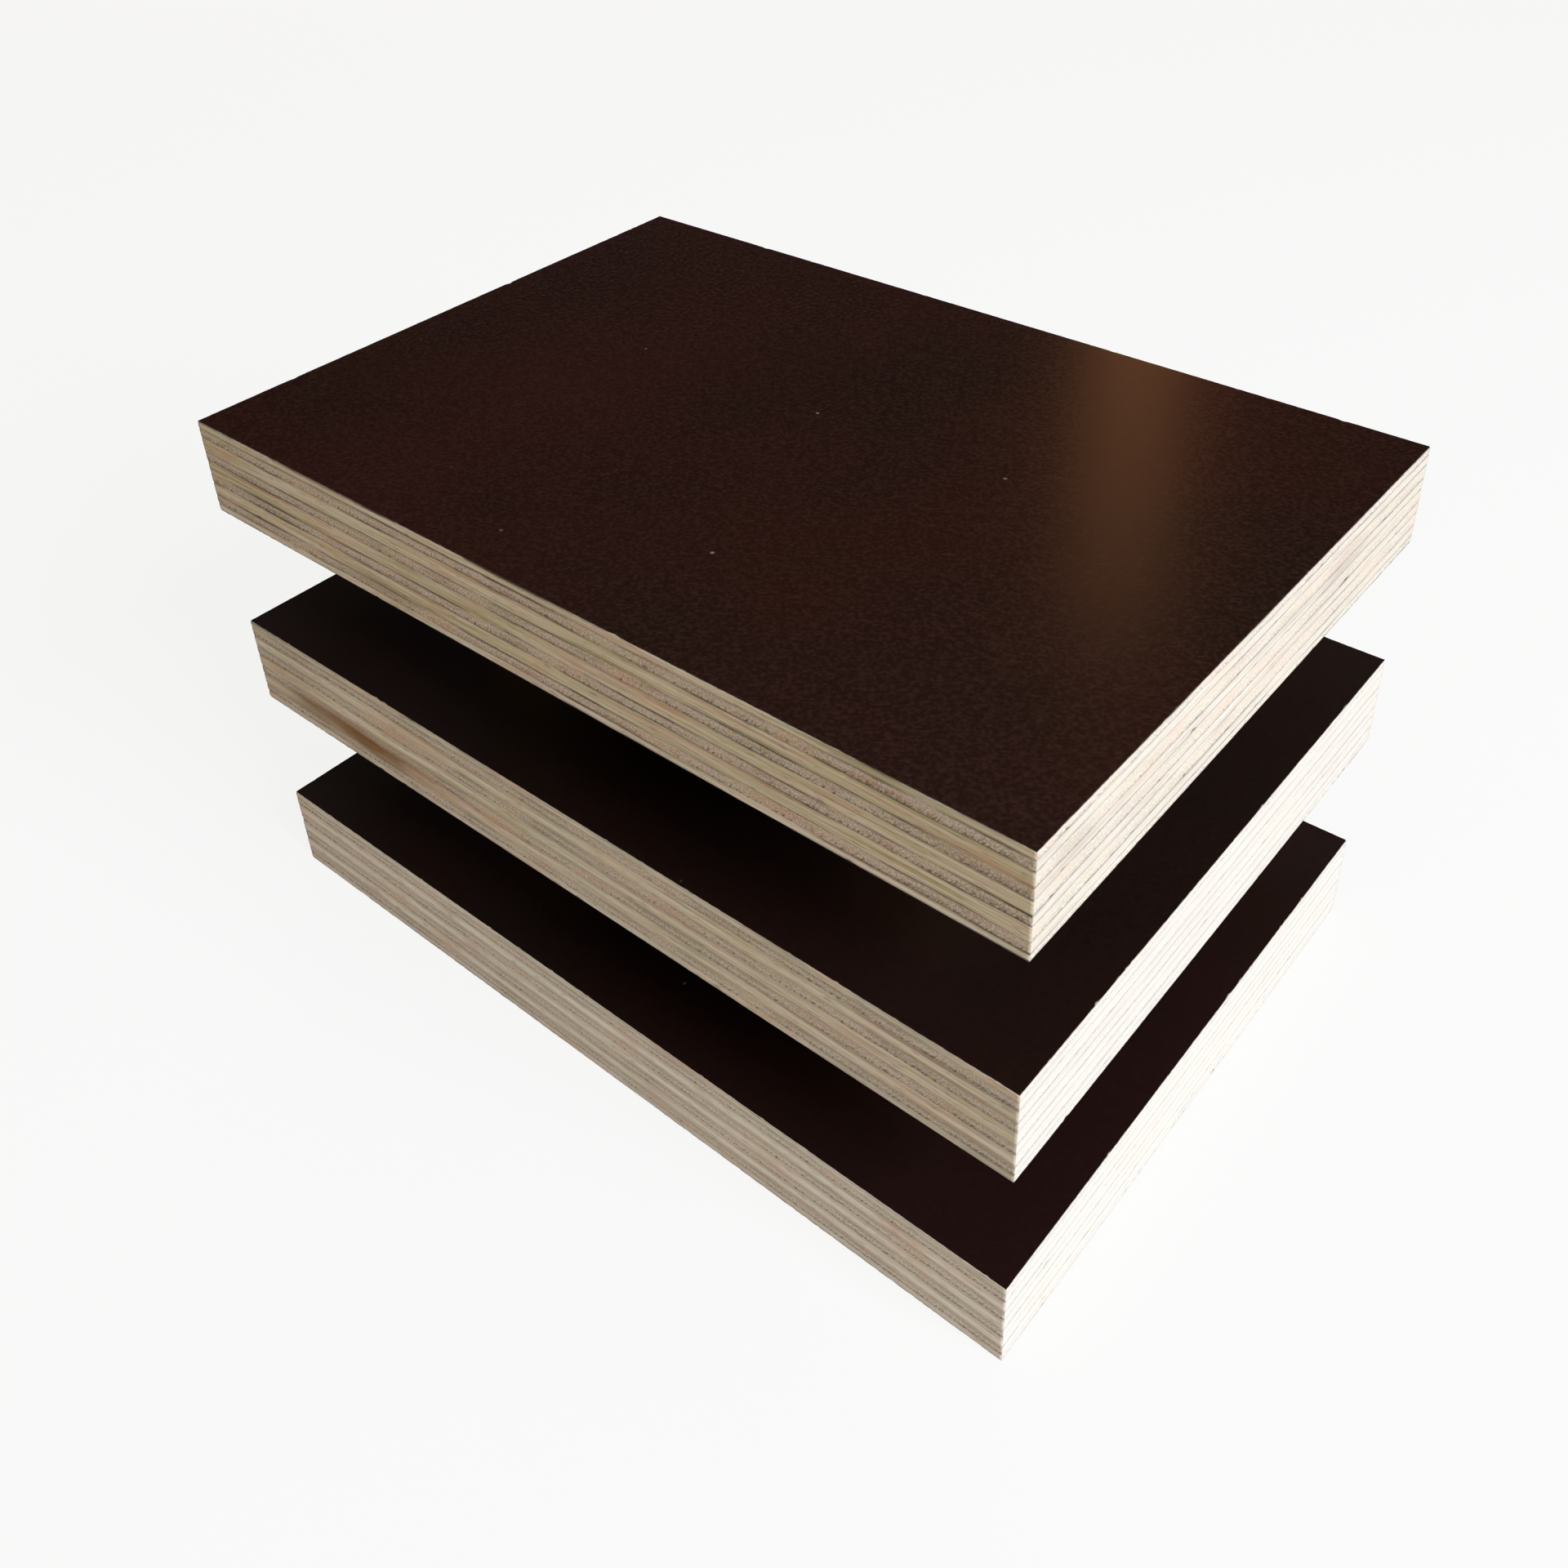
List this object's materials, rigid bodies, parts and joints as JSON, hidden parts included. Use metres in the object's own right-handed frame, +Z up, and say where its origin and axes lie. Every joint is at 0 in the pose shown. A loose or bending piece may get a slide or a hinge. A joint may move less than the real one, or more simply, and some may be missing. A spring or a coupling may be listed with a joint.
{
  "type": "stack of plywood sheets",
  "caption": "Short stack of film-faced plywood sheets held apart by wooden spacers, with the cross-laid veneers showing along the sawn edges.",
  "frame": {"origin": "under the middle of the stack, on the surface that it lies on", "axes": "+X along the sheets and the grain of their faces, +Y across them, +Z up"},
  "size_m": [0.168, 0.114, 0.102],
  "materials": {
    "resin_film": "satin",
    "long_grain_veneer": "matte",
    "cross_grain_veneer": "matte",
    "spacer_wood": "matte"
  },
  "bodies": {
    "root": {"bottom_sheet_back_film": "resin_film", "bottom_sheet_veneer_1": "long_grain_veneer", "bottom_sheet_veneer_2": "cross_grain_veneer", "bottom_sheet_veneer_3": "long_grain_veneer", "bottom_sheet_veneer_4": "cross_grain_veneer", "bottom_sheet_veneer_5": "long_grain_veneer", "bottom_sheet_veneer_6": "cross_grain_veneer", "bottom_sheet_veneer_7": "long_grain_veneer", "bottom_sheet_veneer_8": "cross_grain_veneer", "bottom_sheet_veneer_9": "long_grain_veneer", "bottom_sheet_face_film": "resin_film", "middle_sheet_back_film": "resin_film", "middle_sheet_veneer_1": "long_grain_veneer", "middle_sheet_veneer_2": "cross_grain_veneer", "middle_sheet_veneer_3": "long_grain_veneer", "middle_sheet_veneer_4": "cross_grain_veneer", "middle_sheet_veneer_5": "long_grain_veneer", "middle_sheet_veneer_6": "cross_grain_veneer", "middle_sheet_veneer_7": "long_grain_veneer", "middle_sheet_veneer_8": "cross_grain_veneer", "middle_sheet_veneer_9": "long_grain_veneer", "middle_sheet_face_film": "resin_film", "top_sheet_back_film": "resin_film", "top_sheet_veneer_1": "long_grain_veneer", "top_sheet_veneer_2": "cross_grain_veneer", "top_sheet_veneer_3": "long_grain_veneer", "top_sheet_veneer_4": "cross_grain_veneer", "top_sheet_veneer_5": "long_grain_veneer", "top_sheet_veneer_6": "cross_grain_veneer", "top_sheet_veneer_7": "long_grain_veneer", "top_sheet_veneer_8": "cross_grain_veneer", "top_sheet_veneer_9": "long_grain_veneer", "top_sheet_face_film": "resin_film", "lower_left_spacer": "spacer_wood", "lower_right_spacer": "spacer_wood", "upper_left_spacer": "spacer_wood", "upper_right_spacer": "spacer_wood"}
  },
  "joints": []
}
